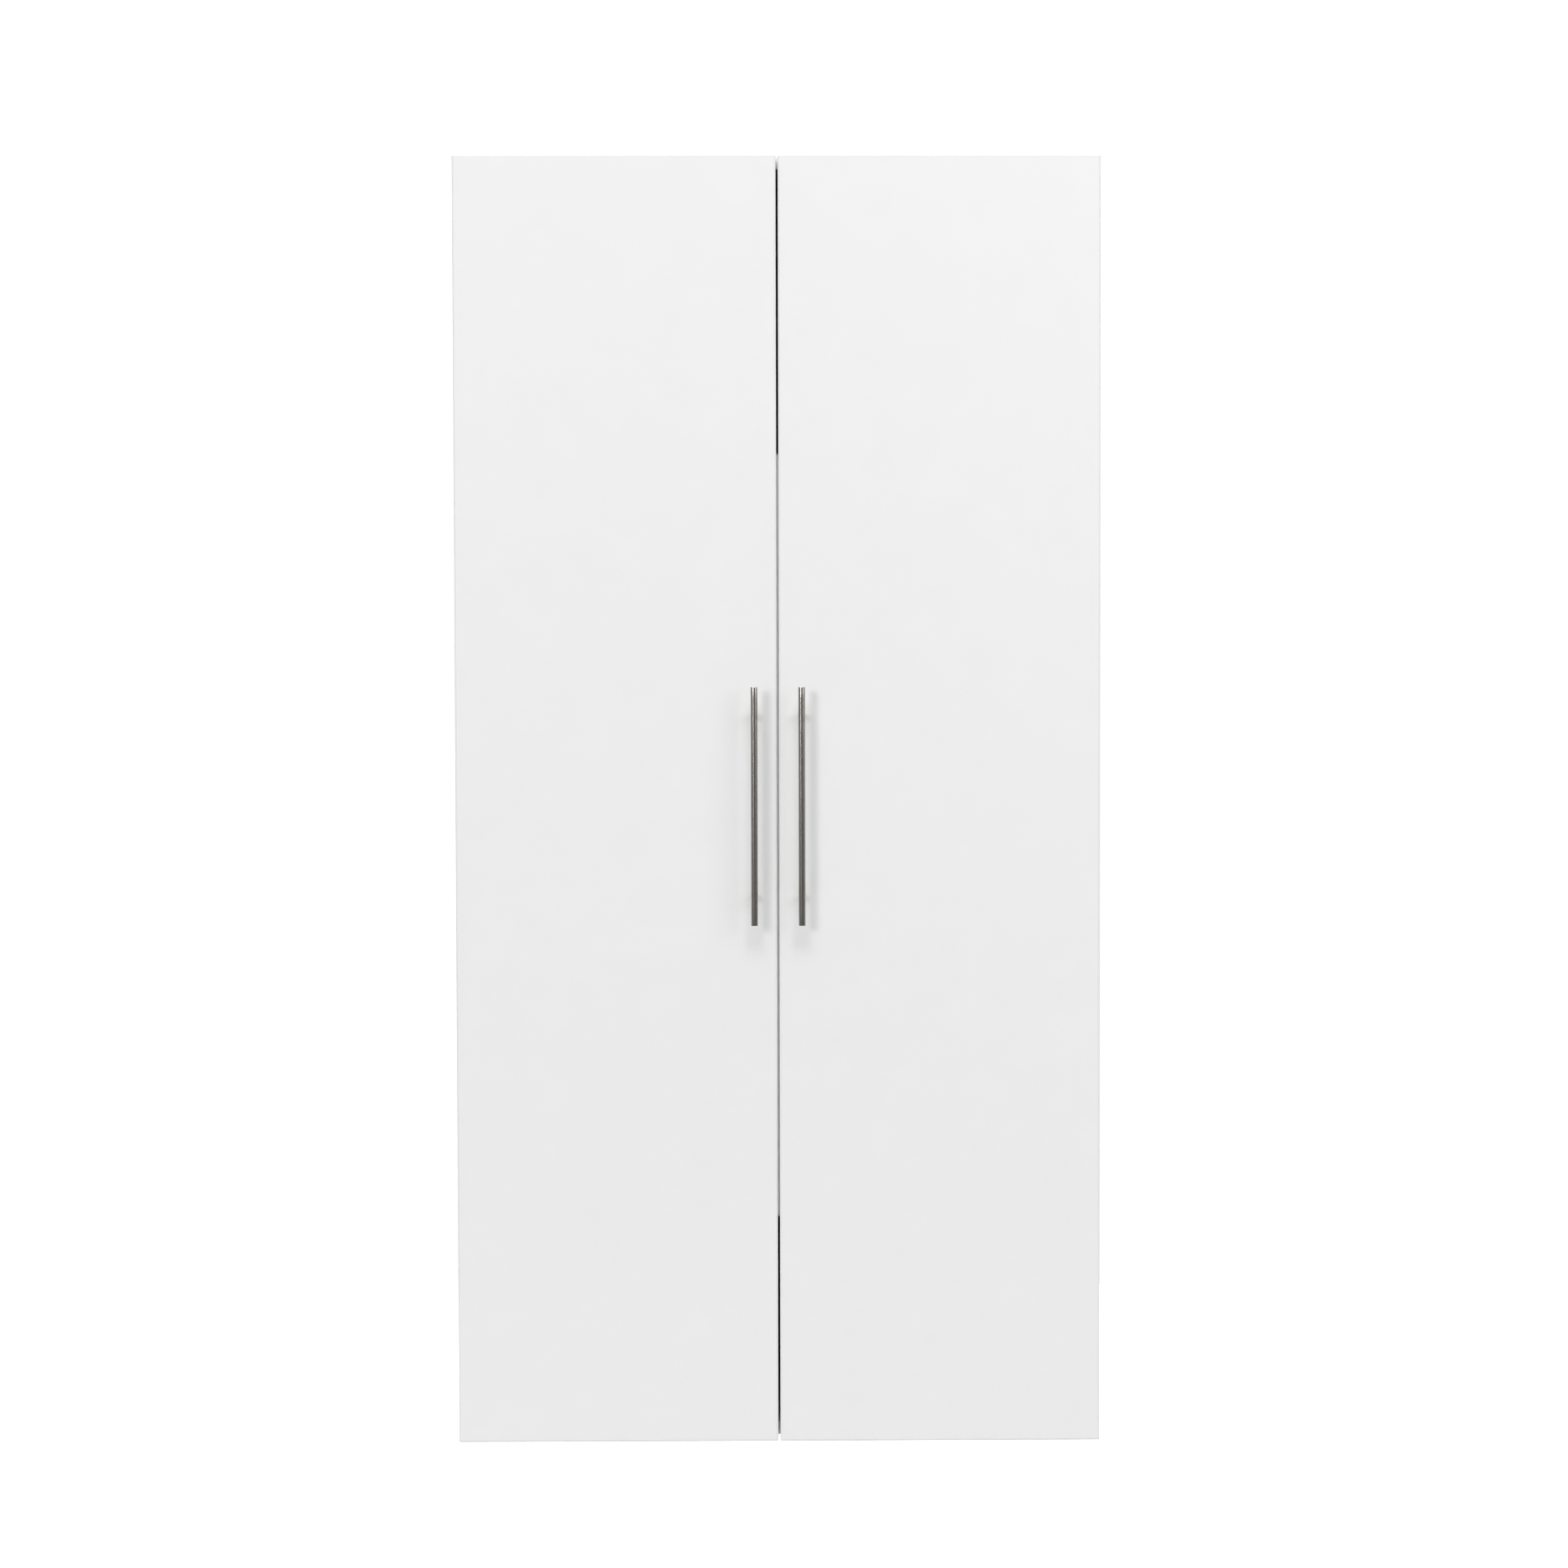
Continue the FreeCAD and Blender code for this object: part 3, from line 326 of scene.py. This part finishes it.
def speckledMetal(name, colour, shade, roughness, grain):
    # Plated or cast metal: even colour with slow cloudiness and a fine orange-peel bump, which
    # softens the edges of its reflections. The grain is the width of one dimple.
    material, tree, principled = newMaterial(name, Metallic=1.0, Roughness=roughness)
    place = objectPlace(tree)
    cloud = addNode(tree, "TexNoise", {"Vector": place, "Scale": 0.12 / grain, "Detail": 2.0})
    colourMix = addNode(tree, "Mix", {"Factor": cloud.outputs["Fac"], "A": toLinear(colour),
                                      "B": toLinear(shade)}, data_type="RGBA")
    peel = addNode(tree, "TexNoise", {"Vector": place, "Scale": 1 / grain, "Detail": 2.0})
    bump = addNode(tree, "Bump", {"Height": peel.outputs["Fac"], "Strength": 0.2,
                                  "Distance": 0.02 * mm})
    tree.links.new(colourMix.outputs["Result"], principled.inputs["Base Color"])
    tree.links.new(bump.outputs["Normal"], principled.inputs["Normal"])
    return material


def mouldedPlastic(name, colour, roughness, **more):
    # injection moulding: even colour, and the mould's faint spark-eroded grain dulls the gloss
    material, tree, principled = newMaterial(name, Roughness=roughness, Base_Color=toLinear(colour),
                                             **more)
    grain = addNode(tree, "TexNoise", {"Vector": objectPlace(tree), "Scale": 1 / (0.5 * mm)})
    bump = addNode(tree, "Bump", {"Height": grain.outputs["Fac"], "Strength": 0.15,
                                  "Distance": 0.02 * mm})
    tree.links.new(bump.outputs["Normal"], principled.inputs["Normal"])
    return material


hardboard = {
    "white": "#e8e8e6",
    "brown": "#8a6440",
    "fibre": "#6d4b2c",
    "fibreLength": 3 * mm,
    "paint": 0.4 * mm,          # depth that counts as the painted side
    "mesh": 2.2 * mm,           # wire screen pressed into the back; really 1.4 mm
    "meshDepth": 0.15 * mm,
}


def hardboardSheet(name, roomSide):
    # Wet-process hardboard: painted smooth towards the shelves, bare brown behind with the print
    # of a wire screen, the higher of two sine waves one up and one across.
    material, tree, principled = newMaterial(name, Roughness=0.6)
    place = objectPlace(tree)
    spot = addNode(tree, "SeparateXYZ", {"Vector": place})
    painted = addNode(tree, "Math", {0: spot.outputs["Y"], 1: roomSide + hardboard["paint"]},
                      operation="LESS_THAN")
    fibre = addNode(tree, "TexNoise", {"Vector": place, "Scale": 1 / hardboard["fibreLength"],
                                       "Detail": 5.0})
    brown = addNode(tree, "Mix", {"Factor": fibre.outputs["Fac"],
                                  "A": toLinear(hardboard["brown"]),
                                  "B": toLinear(hardboard["fibre"])}, data_type="RGBA")
    colour = addNode(tree, "Mix", {"Factor": painted.outputs[0], "A": brown.outputs["Result"],
                                   "B": toLinear(hardboard["white"])}, data_type="RGBA")
    waves = []
    for axis in "XZ":
        angle = addNode(tree, "Math", {0: spot.outputs[axis], 1: 2 * math.pi / hardboard["mesh"]},
                        operation="MULTIPLY")
        wave = addNode(tree, "Math", {0: angle.outputs[0]}, operation="SINE")
        waves.append(wave.outputs[0])
    screen = addNode(tree, "Math", {0: waves[0], 1: waves[1]}, operation="MAXIMUM")
    bare = addNode(tree, "Math", {0: 1.0, 1: painted.outputs[0]}, operation="SUBTRACT")
    height = addNode(tree, "Math", {0: screen.outputs[0], 1: bare.outputs[0]},
                     operation="MULTIPLY")
    bump = addNode(tree, "Bump", {"Height": height.outputs[0], "Strength": 0.6,
                                  "Distance": hardboard["meshDepth"]})
    tree.links.new(colour.outputs["Result"], principled.inputs["Base Color"])
    tree.links.new(bump.outputs["Normal"], principled.inputs["Normal"])
    return material


def beechWood(name):
    # turned beech: pale, with short darker flecks along the grain
    material, tree, principled = newMaterial(name, Roughness=0.65)
    flecks = addNode(tree, "TexNoise", {"Vector": objectPlace(tree, (0.15, 1, 1)),
                                        "Scale": 1 / (0.8 * mm), "Detail": 3.0})
    colour = addNode(tree, "Mix", {"Factor": flecks.outputs["Fac"], "A": toLinear("#d9b88c"),
                                   "B": toLinear("#b98d5c")}, data_type="RGBA")
    tree.links.new(colour.outputs["Result"], principled.inputs["Base Color"])
    return material


# name, sRGB colours, roughness, and grain in metres
stainless = groundBarMetal("stainlessGroundBar", "#bcb9b3", 0.2, 0.25 * mm)
stainlessPost = brushedMetal("stainlessTurnedPost", "#b0aaa2", 0.26, 0.35 * mm)
nickel = speckledMetal("nickelPlatedSteel", "#d8d6d0", "#c9c7c1", 0.3, 0.6 * mm)
zincScrew = speckledMetal("zincPlatedScrew", "#b9bec6", "#a3a69c", 0.34, 0.5 * mm)
castZinc = speckledMetal("dieCastZinc", "#9a9c9e", "#858789", 0.5, 0.8 * mm)
pinSteel = speckledMetal("turnedNickelPin", "#c6c4be", "#b4b2ac", 0.2, 0.5 * mm)
whiteCap = mouldedPlastic("mouldedWhitePolypropylene", "#ebebe9", 0.4)
bumperSoft = mouldedPlastic("clearPolyurethane", "#e6e6e2", 0.25, Transmission_Weight=0.6, IOR=1.5)
print("materials made")

# how a fitting's name starts: its material
finishes = {
    "hinge_arms": nickel, "hinge_plates": nickel, "hinge_cups": nickel, "hinge_pins": pinSteel,
    "plate_screws": zincScrew, "arm_screws": zincScrew, "cup_screws": zincScrew,
    "handle_screws": zincScrew, "handle_bar": stainless, "handle_posts": stainlessPost,
    "door_bumpers": bumperSoft, "dowels": beechWood("turnedBeech"), "cam_locks": castZinc,
    "cam_bolts": zincScrew, "cam_covers": whiteCap, "back_joiner_strip": whiteCap,
    "shelf_pins": pinSteel,
}


def dressFittings():
    # every node whose name starts as a finish says takes it; the back panels take a sheet each
    for name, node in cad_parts.items():
        for start, material in finishes.items():
            if name.startswith(start):
                setMaterial(node, material)
        if name.startswith("back_panel"):
            setMaterial(node, hardboardSheet(name + "Hardboard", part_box(name)[0].y))


dressBoards()
dressFittings()
print("frame dressed")

handle = {
    "segments": 96,             # round the bar and the posts
    "endBevel": 0.7 * mm,       # radius of the bar's end arris
    "endFlat": (0.2, 0.6),      # rings on the bar's flat end, as shares of its radius
    "endRings": 7,              # rings round its arris
    "bodyRings": 22,
    "postRings": 12,
    "postFlat": 0.3,            # innermost ring of a post's end, as a share of its radius
    "postBevel": 0.3 * mm,      # at the door
    "sink": 0.6 * mm,           # how far a post's saddle goes into the bar
}


def makeHandle(side):
    # The bar is a circle carried up a profile with rounded end arrises. A post is a cylinder
    # whose outer end follows the bar: bar axis plus root(bar radius squared - across squared).
    low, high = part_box("handle_bar_" + side)
    radius = (high.x - low.x) / 2
    centre = ((low.x + high.x) / 2, (low.y + high.y) / 2, 0)
    bevel = handle["endBevel"]
    foot = arc((radius - bevel, low.z + bevel), bevel, -90, 0, handle["endRings"])
    top = arc((radius - bevel, high.z - bevel), bevel, 0, 90, handle["endRings"])
    inner = [(radius * share, low.z) for share in handle["endFlat"]]
    outer = [(radius * share, high.z) for share in handle["endFlat"][::-1]]
    levels = np.linspace(low.z + bevel, high.z - bevel, handle["bodyRings"] + 2)[1:-1]
    body = np.stack([np.full(handle["bodyRings"], radius), levels], 1)
    profile = np.concatenate([inner, foot, body, top, outer])
    rings = turnedRings(profile, handle["segments"], centre)
    makePiece("handleBar_" + side, [ringSolid(rings)], stainless, side + "_door",
              ["handle_bar_" + side],
              grain=lambda points: np.stack([points[:, 2], radius * np.arctan2(
                  points[:, 0] - centre[0], points[:, 1] - centre[1])], 1))

    postLow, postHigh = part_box("handle_posts_" + side)
    postRadius = (postHigh.x - postLow.x) / 2
    face = postHigh.y
    angles = np.linspace(0, 2 * np.pi, handle["segments"], endpoint=False)
    across, up = np.cos(angles), np.sin(angles)
    bevel = handle["postBevel"]
    radii = np.concatenate([[postRadius * handle["postFlat"], postRadius - bevel],
                            np.full(handle["postRings"], postRadius)])
    shares = np.concatenate([[0, 0], np.linspace(0, 1, handle["postRings"])])
    shares[2] = bevel / (face - centre[1])
    end = centre[1] + np.sqrt(radius ** 2 - (postRadius * across) ** 2) - handle["sink"]
    solids = []
    for height in (postLow.z + postRadius, postHigh.z - postRadius):
        rings = np.stack([centre[0] + radii[:, None] * across, face + shares[:, None] * (end - face),
                          height + radii[:, None] * up], -1)
        solids.append(ringSolid(rings))
    makePiece("handlePosts_" + side, solids, stainlessPost, side + "_door",
              ["handle_posts_" + side])


for side in sideNames:
    makeHandle(side)
print("handles made")


# millimetres, measured in from the cabinet's side and back from the door's front
hinge = {
    "heights": (120, 590, 1198, 1705),  # above the cabinet's underside
    "pivot": (7.5, 10.0),       # in from the cabinet's side, and behind the door's front
    "strip": 2.5,               # thickness of the pressed strip
    "reach": 24.75,             # middle of the strip along the side panel
    "bend": 4.5,                # radius of its one bend
    "end": 85.8,                # its far end, behind the door's front
    "narrow": 4.0,              # half the width inside the cup
    "wide": 5.9,                # and over the mounting plate
    "widens": (27, 35),         # where it goes from narrow to wide
    "corner": 0.7,              # radius of the section's corners
    "rib": 0.55,                # height of the stiffening rib pressed into the wide part
    "ribSpans": ((38, 53), (65, 82)),
    "ribEnd": 4,                # length over which a rib rises
    "ribCover": 0.85,           # share of the section's flat that the rib's points cover
    "ribNarrows": 1.6,          # times narrower than that flat
    "lineRings": (8, 12, 59),   # rings on the toe, the bend and the back
    "cornerPoints": 5,          # points on each corner of the section
    "ribPoints": 17,
    "knuckle": (2.35, 3.9),     # radius and half the length of the eye round the pin
    "knuckleBevel": 0.3,
    "knuckleInner": 0.6,        # innermost ring of the eye's end face
    "segments": 40,             # round the eye
}


def smoothStep(value, start, end):
    # 0 before start, 1 after end, and between them 3 s squared less 2 s cubed of the share s
    share = np.clip((value - start) / (end - start), 0, 1)
    return share * share * (3 - 2 * share)


def armRings():
    # The arm's middle line runs in from the pivot, round a quarter circle and back along the
    # side. Its section is a rounded oblong, whose half width grows by a smooth step; the rib
    # is a raised cosine across the section times smooth steps along the line.
    pivotIn, pivotBack = hinge["pivot"]
    turn = (hinge["reach"] - hinge["bend"], pivotBack + hinge["bend"])
    toeRings, bendRings, backRings = hinge["lineRings"]
    toe = np.stack([np.linspace(pivotIn, turn[0], toeRings, endpoint=False),
                    np.full(toeRings, pivotBack)], 1)
    bend = arc(turn, hinge["bend"], -90, 0, bendRings)
    back = np.stack([np.full(backRings, hinge["reach"]),
                     np.linspace(turn[1], hinge["end"], backRings + 1)[1:]], 1)
    line = np.concatenate([toe, bend, back])
    heading = np.gradient(line, axis=0)
    heading /= np.linalg.norm(heading, axis=1, keepdims=True)
    outwards = np.stack([heading[:, 1], -heading[:, 0]], 1)     # away from the side panel
    widening = smoothStep(line[:, 1], *hinge["widens"])
    half = hinge["narrow"] + (hinge["wide"] - hinge["narrow"]) * widening
    corner, thick = hinge["corner"], hinge["strip"] / 2
    count = hinge["cornerPoints"]
    angles = np.linspace(0, 2 * np.pi, 4 * count, endpoint=False)
    acrossSign, throughSign = (np.repeat(signs, count) for signs in ([1, -1, -1, 1], [1, 1, -1, -1]))
    across = half[:, None] * acrossSign + corner * (np.cos(angles) - acrossSign)
    through = thick * throughSign + corner * (np.sin(angles) - throughSign)
    # more points over the top, between its two corners, carry the rib
    lift = np.linspace(hinge["ribCover"], -hinge["ribCover"], hinge["ribPoints"])
    flat = (half[:, None] - corner) * lift
    rise = hinge["ribEnd"]
    raised = sum(smoothStep(line[:, 1], start, start + rise) - smoothStep(line[:, 1], end - rise, end)
                 for start, end in hinge["ribSpans"])
    crown = np.cos(np.clip(lift * hinge["ribNarrows"], -1, 1) * np.pi / 2) ** 2
    top = thick + hinge["rib"] * raised[:, None] * crown
    across = np.concatenate([across[:, :count], flat, across[:, count:]], 1)
    through = np.broadcast_to(through, (len(line), 4 * count))
    through = np.concatenate([through[:, :count], top, through[:, count:]], 1)
    place = line[:, None] + through[:, :, None] * outwards[:, None]
    return np.concatenate([place, across[:, :, None]], 2)


def makeHingeArms(side):
    # Strips and knuckles are made once at height 0, then set down at each hinge: in from the
    # cabinet's side, back from the door's front, and up from the cabinet's underside.
    way = sideNames[side]
    outer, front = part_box("side_panel_" + side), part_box("door_panel_" + side)[0].y
    outerFace = outer[0].x if way < 0 else outer[1].x
    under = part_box("bottom_panel")[0].z
    strip = armRings() * mm
    eye, length = hinge["knuckle"]
    inner, bevel = hinge["knuckleInner"], hinge["knuckleBevel"]
    profile = [(inner, -length), (eye - bevel, -length), (eye, bevel - length),
               (eye, length - bevel), (eye - bevel, length), (inner, length)]
    knuckle = turnedRings(profile, hinge["segments"], (*hinge["pivot"], 0)) * mm
    solids = []
    for height in hinge["heights"]:
        for rings in (strip, knuckle):
            placed = np.stack([outerFace - way * rings[..., 0], front + rings[..., 1],
                               under + height * mm + rings[..., 2]], -1)
            solids.append(ringSolid(placed))
    makePiece("hingeArms_" + side, solids, nickel, "carcass",
              ["hinge_arms_" + side])


bumper = {
    "wall": 1.1 * mm,           # height of the straight edge under the dome
    "flare": 0.25 * mm,         # how far the foot spreads
    "footFlat": 0.4,            # innermost ring of the foot, as a share of its radius
    "steepest": 86,             # degrees; the dome ends in a small flat at its top
    "domeRings": 14,
    "segments": 40,
}


def makeBumpers(side):
    # a moulded dome: radius times the cosine, and height times the sine, of an angle from 0 up
    low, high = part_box("door_bumpers_" + side)
    radius = (high.x - low.x) / 2
    angles = np.radians(np.linspace(0, bumper["steepest"], bumper["domeRings"]))
    dome = np.stack([(radius - bumper["flare"]) * np.cos(angles),
                     bumper["wall"] + (high.y - low.y - bumper["wall"]) * np.sin(angles)], 1)
    profile = np.concatenate([[(radius * bumper["footFlat"], 0), (radius, 0)], dome])
    centre = (low.x + high.x) / 2
    solids = [ringSolid(turnedRings(profile, bumper["segments"], (centre, low.y, height), (0, 1, 0)))
              for height in (low.z + radius, high.z - radius)]
    makePiece("doorBumpers_" + side, solids, bumperSoft, side + "_door",
              ["door_bumpers_" + side], smooth=50)


for side in sideNames:
    makeHingeArms(side)
    makeBumpers(side)
print("hinge arms and bumpers made")


# Camera, floor and light.

camera = {
    "place": (-0.0143, -3.8977, -0.6558),   # metres in the cabinet's frame
    "yaw": 0.375,                           # degrees to the right
    "pitch": -1.551,                        # degrees upwards
    "roll": -0.129,
    "sensor": 36,                           # millimetres
    "lens": 56.58,
    "clipEnd": 100,                         # metres
}
studio = {
    "floorDrop": 0.45,          # metres from the doors' lower edge to the floor
    "floorHalf": 2.5,           # half the side of the floor's square
    "floorColour": "#c2c2c2",
    "floorRoughness": 0.9,
    "glow": 1.0,                # added to the floor where the camera looks at it
    "backdrop": 1.05,           # brightness of the world where the camera looks at it
    "room": 0.15,               # brightness of the walls, towards the horizon
    "ceiling": 1.85,            # brightness overhead
    "dimBelow": 0.62,           # sine of the height where the room ends
    "brightAbove": 0.90,        # and where the ceiling is fully bright
}
# name: direction to the lamp from the doors' middle, distance, width, height, watts
lamps = {
    "windowLeft": ((-17.7, -27, 8), 5.6, 1.1, 1.9, 74.0),
    "softboxRight": ((34, -27, 18), 3.0, 1.3, 2.0, 19.0),
    "ceilingPanel": ((0, -19, 25), 8.0, 5.0, 2.5, 335.0),
    "edgeFill": ((0, -27, 5), 5.0, 0.6, 1.6, 62.0),
    "rearFill": ((-10, 30, 22), 4.0, 3.0, 2.5, 30.0),
}
# the fill from the front reaches only the board edges that show between the doors
edgeFillReaches = ["centre_upright", "fixed_shelf_lower", "fixed_shelf_upper"]


def makeCamera():
    # looks along yaw and pitch, then rolls about its own line of sight
    data = bpy.data.cameras.new("camera")
    data.sensor_width = camera["sensor"]
    data.lens = camera["lens"]
    data.clip_end = camera["clipEnd"]
    seer = bpy.data.objects.new("camera", data)
    scene.collection.objects.link(seer)
    yaw, pitch, roll = (math.radians(camera[key]) for key in ("yaw", "pitch", "roll"))
    forward = Vector((math.sin(yaw) * math.cos(pitch), math.cos(yaw) * math.cos(pitch),
                      math.sin(pitch)))
    right = Vector((math.cos(yaw), -math.sin(yaw), 0))
    up = right.cross(forward)
    rolledRight = math.cos(roll) * right + math.sin(roll) * up
    rolledUp = -math.sin(roll) * right + math.cos(roll) * up
    turn = Matrix((rolledRight, rolledUp, -forward)).transposed().to_4x4()
    seer.matrix_world = Matrix.Translation(camera["place"]) @ turn
    scene.camera = seer


def makeFloor():
    # a plain pale floor, lifted towards white where the camera looks at it
    material = bpy.data.materials.new("paleFloor")
    material.use_nodes = True
    tree = material.node_tree
    principled = tree.nodes["Principled BSDF"]
    principled.inputs["Base Color"].default_value = toLinear(studio["floorColour"])
    principled.inputs["Roughness"].default_value = studio["floorRoughness"]
    glow = addNode(tree, "Emission", {"Color": (1, 1, 1, 1)})
    path = addNode(tree, "LightPath")
    amount = addNode(tree, "Math", {0: path.outputs["Is Camera Ray"], 1: studio["glow"]},
                     operation="MULTIPLY")
    tree.links.new(amount.outputs[0], glow.inputs["Strength"])
    total = addNode(tree, "AddShader", {0: principled.outputs["BSDF"], 1: glow.outputs["Emission"]})
    tree.links.new(total.outputs[0], tree.nodes["Material Output"].inputs["Surface"])
    half, level = studio["floorHalf"], cadLow.z - studio["floorDrop"]
    mesh = bpy.data.meshes.new("floor")
    corners = [(-half, -half, level), (half, -half, level), (half, half, level),
               (-half, half, level)]
    mesh.from_pydata(corners, [], [(0, 1, 2, 3)])
    mesh.materials.append(material)
    floor = bpy.data.objects.new("floor", mesh)
    scene.collection.objects.link(floor)


def makeLight():
    world = bpy.data.worlds.new("studio")
    world.use_nodes = True
    tree = world.node_tree
    # the camera sees white; everything else sees a dim room under a bright ceiling
    coordinates = addNode(tree, "TexCoord")
    height = addNode(tree, "SeparateXYZ", {"Vector": coordinates.outputs["Generated"]})
    room = addNode(tree, "MapRange", {"Value": height.outputs["Z"], "From Min": studio["dimBelow"],
                                      "From Max": studio["brightAbove"], "To Min": studio["room"],
                                      "To Max": studio["ceiling"]}, interpolation_type="SMOOTHSTEP")
    path = addNode(tree, "LightPath")
    strength = addNode(tree, "Mix", {"Factor": path.outputs["Is Camera Ray"],
                                     "A": room.outputs["Result"], "B": studio["backdrop"]})
    tree.links.new(strength.outputs["Result"], tree.nodes["Background"].inputs["Strength"])
    tree.nodes["Background"].inputs["Color"].default_value = (1, 1, 1, 1)
    scene.world = world
    middle = Vector((0, cadLow.y, (cadLow.z + cadHigh.z) / 2))
    for name, (direction, distance, width, height, watts) in lamps.items():
        data = bpy.data.lights.new(name, "AREA")
        data.shape = "RECTANGLE"
        data.size, data.size_y = width, height
        data.energy = watts
        lamp = bpy.data.objects.new(name, data)
        scene.collection.objects.link(lamp)
        towards = Vector(direction).normalized()
        lamp.location = middle + towards * distance
        lamp.rotation_mode = "QUATERNION"
        lamp.rotation_quaternion = towards.to_track_quat("Z", "Y")
        if name == "edgeFill":
            reached = bpy.data.collections.new("edgeFillReaches")
            for board in edgeFillReaches:
                reached.objects.link(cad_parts[board])
            lamp.light_linking.receiver_collection = reached
    scene.view_settings.view_transform = "Standard"


makeCamera()
makeFloor()
makeLight()
print("studio made")
